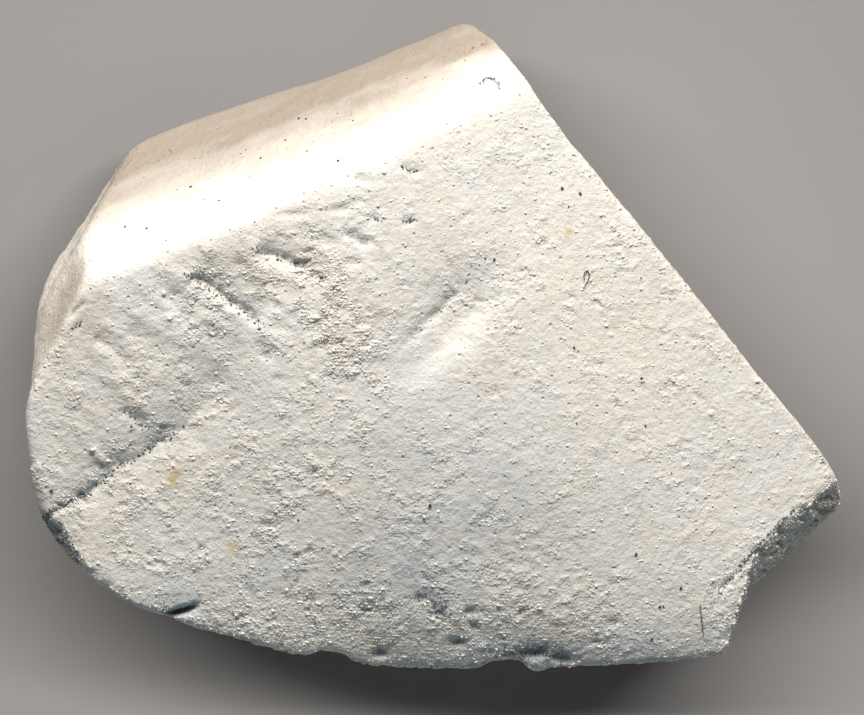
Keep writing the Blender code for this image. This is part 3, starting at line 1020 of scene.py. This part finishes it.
def chalk_grain():
    """The fine relief of chalk as a group: grains of four sizes, each a dome as high as its own cell's
    number, a rough noise, and pin holes. Height is in millimetres. The pores output is 1 in the pin holes and
    where the noise is low, and the material paints shade there."""
    tree = bpy.data.node_groups.new("chalk grain", "ShaderNodeTree")
    for socket, way in (("Crumbly", "INPUT"), ("Height", "OUTPUT"), ("Pores", "OUTPUT")):
        tree.interface.new_socket(socket, in_out=way, socket_type="NodeSocketFloat")
    given = tree.nodes.new("NodeGroupInput")
    result = tree.nodes.new("NodeGroupOutput")
    place = object_place(tree)
    drift = noise(tree, place, 1.4, 2).outputs["Color"]
    drift = combined(tree, "SUBTRACT", drift, (0.5, 0.5, 0.5), "ShaderNodeVectorMath")
    drift = node(tree, "ShaderNodeVectorMath", {0: drift, "Scale": 0.3 * MM}, operation="SCALE").outputs[0]
    torn = combined(tree, "ADD", place, drift, "ShaderNodeVectorMath")

    def one_channel(colour):
        return node(tree, "ShaderNodeSeparateColor", {0: colour}).outputs[0]

    def domes(per_mm):
        found = node(tree, "ShaderNodeTexVoronoi", {"Vector": torn, "Scale": per_mm / MM})
        rise = spread(tree, found.outputs["Distance"], 0.62, 0.08)
        return combined(tree, "MULTIPLY", rise, one_channel(found.outputs["Color"]))

    soft = noise(tree, place, 1.5, 3, 0.6).outputs["Fac"]
    grain = noise(tree, place, 5.5, 4, 0.72).outputs["Fac"]
    pin_cells = node(tree, "ShaderNodeTexVoronoi", {"Vector": place, "Scale": 1.3 / MM})
    pins = spread(tree, pin_cells.outputs["Distance"], 0.10, 0.22, 1.0, 0.0)
    rare = spread(tree, one_channel(pin_cells.outputs["Color"]), 0.80, 0.82)
    pins = combined(tree, "MULTIPLY", pins, rare)
    grains = sum_of(tree, *[(domes(per_mm), high) for per_mm, high in DOMES])
    rough = spread(tree, given.outputs["Crumbly"], 0.0, 0.8, 0.17, 1.6)
    fine = combined(tree, "MULTIPLY", sum_of(tree, (grains, 1.1), (grain, 0.06)), rough)
    height = sum_of(tree, (fine, 1.0), (soft, 0.12), (pins, -PIN_DEPTH))
    # The pin holes and the low spots of the grain, where the material paints shade.
    pores = combined(tree, "MAXIMUM", pins, spread(tree, grain, 0.47, 0.33))
    tree.links.new(height, result.inputs["Height"])
    tree.links.new(pores, result.inputs["Pores"])
    return tree


CHALK_GRAIN = chalk_grain()
# The colours that lie over the white, in linear light. The greys of the hollows, the pores, the cuts and the
# shaded patches are painted shade, and cream and tan are partly painted shade.
CREAM, TAN = (0.63, 0.575, 0.50, 1), (0.35, 0.29, 0.235, 1)
RUSTY = (0.62, 0.50, 0.26, 1)
PAINTED_SHADE_GREY = (0.55, 0.565, 0.57, 1)
PAINTED_HOLLOW_SHADE, PAINTED_PORE_SHADE = (0.475, 0.472, 0.455, 1), (0.42, 0.41, 0.39, 1)
PAINTED_CUT_SHADE = (0.24, 0.265, 0.29, 1)


def chalk_material(name, white, pale):
    """Dry chalk: clouds of two whites, a cream to tan colour where the piece has one, partly its own staining
    and partly painted shade, rusty spots, painted grey shade on patches, painted shade in the hollows, pores
    and cuts, and the fine relief as bump."""
    material, tree, shader = new_material(name, 0.95)
    shader.inputs["Specular IOR Level"].default_value = 0.2
    place = object_place(tree)

    def attribute(name):
        return node(tree, "ShaderNodeAttribute", attribute_name=name).outputs["Fac"]

    def cloud(*settings):
        return noise(tree, place, *settings).outputs["Fac"]

    grain = node(tree, "ShaderNodeGroup", node_tree=CHALK_GRAIN)
    tree.links.new(attribute("crumbly"), grain.inputs["Crumbly"])
    clouds = sum_of(tree, (cloud(0.12, 5, 0.6), 0.6), (cloud(0.6, 3, 0.6), 0.4))
    colour = mixed(tree, spread(tree, clouds, 0.40, 0.60), white, pale)
    streaks = spread(tree, cloud(0.5, 4, 0.6), 0.35, 0.65)
    stain_and_shade = sum_of(tree, (attribute("stain_and_shade"), 1.0), (streaks, 0.12))
    # The deep places broken up by a granular noise: where cool dark shade is painted into the cuts.
    broken = sum_of(tree, (cloud(3.0, 4, 0.75), 2.2), (attribute("deep"), 1.0))
    # Over the whites: cream and tan, partly painted shade, rusty spots, then painted shade on grey patches
    # and in hollows, pores and cuts.
    over = [
        (spread(tree, stain_and_shade, 0.04, 0.36), CREAM),
        (spread(tree, stain_and_shade, 0.40, 1.05), TAN),
        (attribute("ochre"), RUSTY),
        (attribute("grey_shade"), PAINTED_SHADE_GREY),
        (spread(tree, attribute("hollow"), 0.15, 1.0, 0.0, 0.45), PAINTED_HOLLOW_SHADE),
        (spread(tree, grain.outputs["Pores"], 0.0, 1.0, 0.0, 0.50), PAINTED_PORE_SHADE),
        (spread(tree, broken, 1.50, 2.10, 0.0, 0.75), PAINTED_CUT_SHADE),
    ]
    for share, shade in over:
        colour = mixed(tree, share, colour, shade)
    tree.links.new(colour, shader.inputs["Base Color"])
    bump = node(tree, "ShaderNodeBump", {"Height": grain.outputs["Height"], "Distance": MM, "Strength": 1.0})
    tree.links.new(bump.outputs["Normal"], shader.inputs["Normal"])
    return material


def plain_material(name, colour, roughness):
    """One even finish, for the floor."""
    material, _, shader = new_material(name, roughness)
    shader.inputs["Base Color"].default_value = (*colour, 1.0)
    return material


def mottled_material(name, dark, light, per_mm, roughness):
    """Two shades mixed by a small noise, for grit and hairs."""
    material, tree, shader = new_material(name, roughness)
    share = noise(tree, object_place(tree), per_mm, 3).outputs["Fac"]
    tree.links.new(mixed(tree, share, dark, light), shader.inputs["Base Color"])
    return material


# The two shades that each finish is mixed from, in linear light.
CHALK_WHITES = (0.807, 0.745, 0.664, 1), (0.802, 0.777, 0.738, 1)
CRUMB_WHITES = (0.82, 0.765, 0.69, 1), (0.83, 0.80, 0.765, 1)
SHADE_CRUMB_GREYS = (0.04, 0.047, 0.06, 1), (0.24, 0.25, 0.26, 1)
DARK_GRIT_SHADES = (0.03, 0.028, 0.03, 1), (0.10, 0.085, 0.07, 1)
HAIR_SHADES = (0.05, 0.05, 0.06, 1), (0.16, 0.15, 0.15, 1)

hair_finish = mottled_material("dark hair", *HAIR_SHADES, 2, 0.5)
FINISHES = [
    (rock, chalk_material("chalk", *CHALK_WHITES)),
    (crumbs, chalk_material("chalk crumbs", *CRUMB_WHITES)),
    (shade_crumbs, mottled_material("painted shade crumbs", *SHADE_CRUMB_GREYS, 3, 0.9)),
    (grit, mottled_material("dark grit", *DARK_GRIT_SHADES, 6, 0.8)),
    *[(hair, hair_finish) for hair in hairs],
]
pieces = [piece for piece, _ in FINISHES]
for piece, finish in FINISHES:
    piece.data.materials.append(finish)
    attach(piece, "root")
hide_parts("chalk_rock")

# ---------------- floor, light and camera

FLOOR_SIZE = 3.0
bpy.ops.mesh.primitive_plane_add(size=FLOOR_SIZE, location=(0.0, 0.0, low_corner[2]))
floor = bpy.context.object
floor.name = "pale_floor"
floor.data.materials.append(plain_material("pale floor", (0.50, 0.478, 0.465), 0.9))


def soft_light(name, bearing, lift, distance, wide, high, energy, colour, falls_on):
    """A soft rectangle of light, aimed at the middle of the rock from `bearing` degrees round from +X and
    `lift` degrees up. It falls only on the objects given, and everything shades it."""
    data = bpy.data.lights.new(name, "AREA")
    data.shape = "RECTANGLE"
    data.size, data.size_y = wide * MM, high * MM
    data.energy, data.color = energy, colour
    light = bpy.data.objects.new(name, data)
    way = Vector(facing(bearing, lift))
    light.location = Vector(MIDDLE) + (Vector(HEART) + way * distance) * MM
    light.rotation_euler = way.to_track_quat("Z", "Y").to_euler()
    bpy.context.scene.collection.objects.link(light)
    lit = bpy.data.collections.new(name + " falls on")
    for thing in falls_on:
        lit.objects.link(thing)
    light.light_linking.receiver_collection = lit


soft_light("key light", 90, 40, 450, 500, 140, 4.45, (1.0, 0.965, 0.92), pieces)
soft_light("fill light", 270, 30, 450, 600, 400, 0.40, (0.76, 0.97, 1.05), pieces)
soft_light("floor light", 91, 76.0, 1000, 1150, 90, 8.1, (1.0, 0.985, 0.965), [floor])

world = bpy.data.worlds.new("soft fill")
bpy.context.scene.world = world
world.use_nodes = True
world.node_tree.nodes["Background"].inputs["Color"].default_value = (0.82, 0.95, 1.05, 1.0)
world.node_tree.nodes["Background"].inputs["Strength"].default_value = 0.03

# The camera looks straight down from far off. At LEVEL_SEEN, where most of the rock's outline stands, an
# image IMAGE_WIDTH pixels wide has 300 pixels to the inch. NUDGE is the camera's place off the middle, in
# pixels.
LENS, SENSOR = 400.0, 36.0
IMAGE_WIDTH, PIXEL = 864, 25.4 / 300
LEVEL_SEEN = 22.0
NUDGE = (-1.0, -12.0)
camera_data = bpy.data.cameras.new("camera")
camera_data.lens = LENS
camera_data.sensor_width = SENSOR
camera_data.clip_start = 0.01
camera_data.clip_end = 5.0
camera = bpy.data.objects.new("camera", camera_data)
camera_height = LEVEL_SEEN + IMAGE_WIDTH * PIXEL * LENS / SENSOR
camera.location = Vector(MIDDLE) + Vector((NUDGE[0] * PIXEL, NUDGE[1] * PIXEL, camera_height)) * MM
bpy.context.scene.collection.objects.link(camera)
bpy.context.scene.camera = camera
bpy.context.scene.view_settings.view_transform = "Standard"
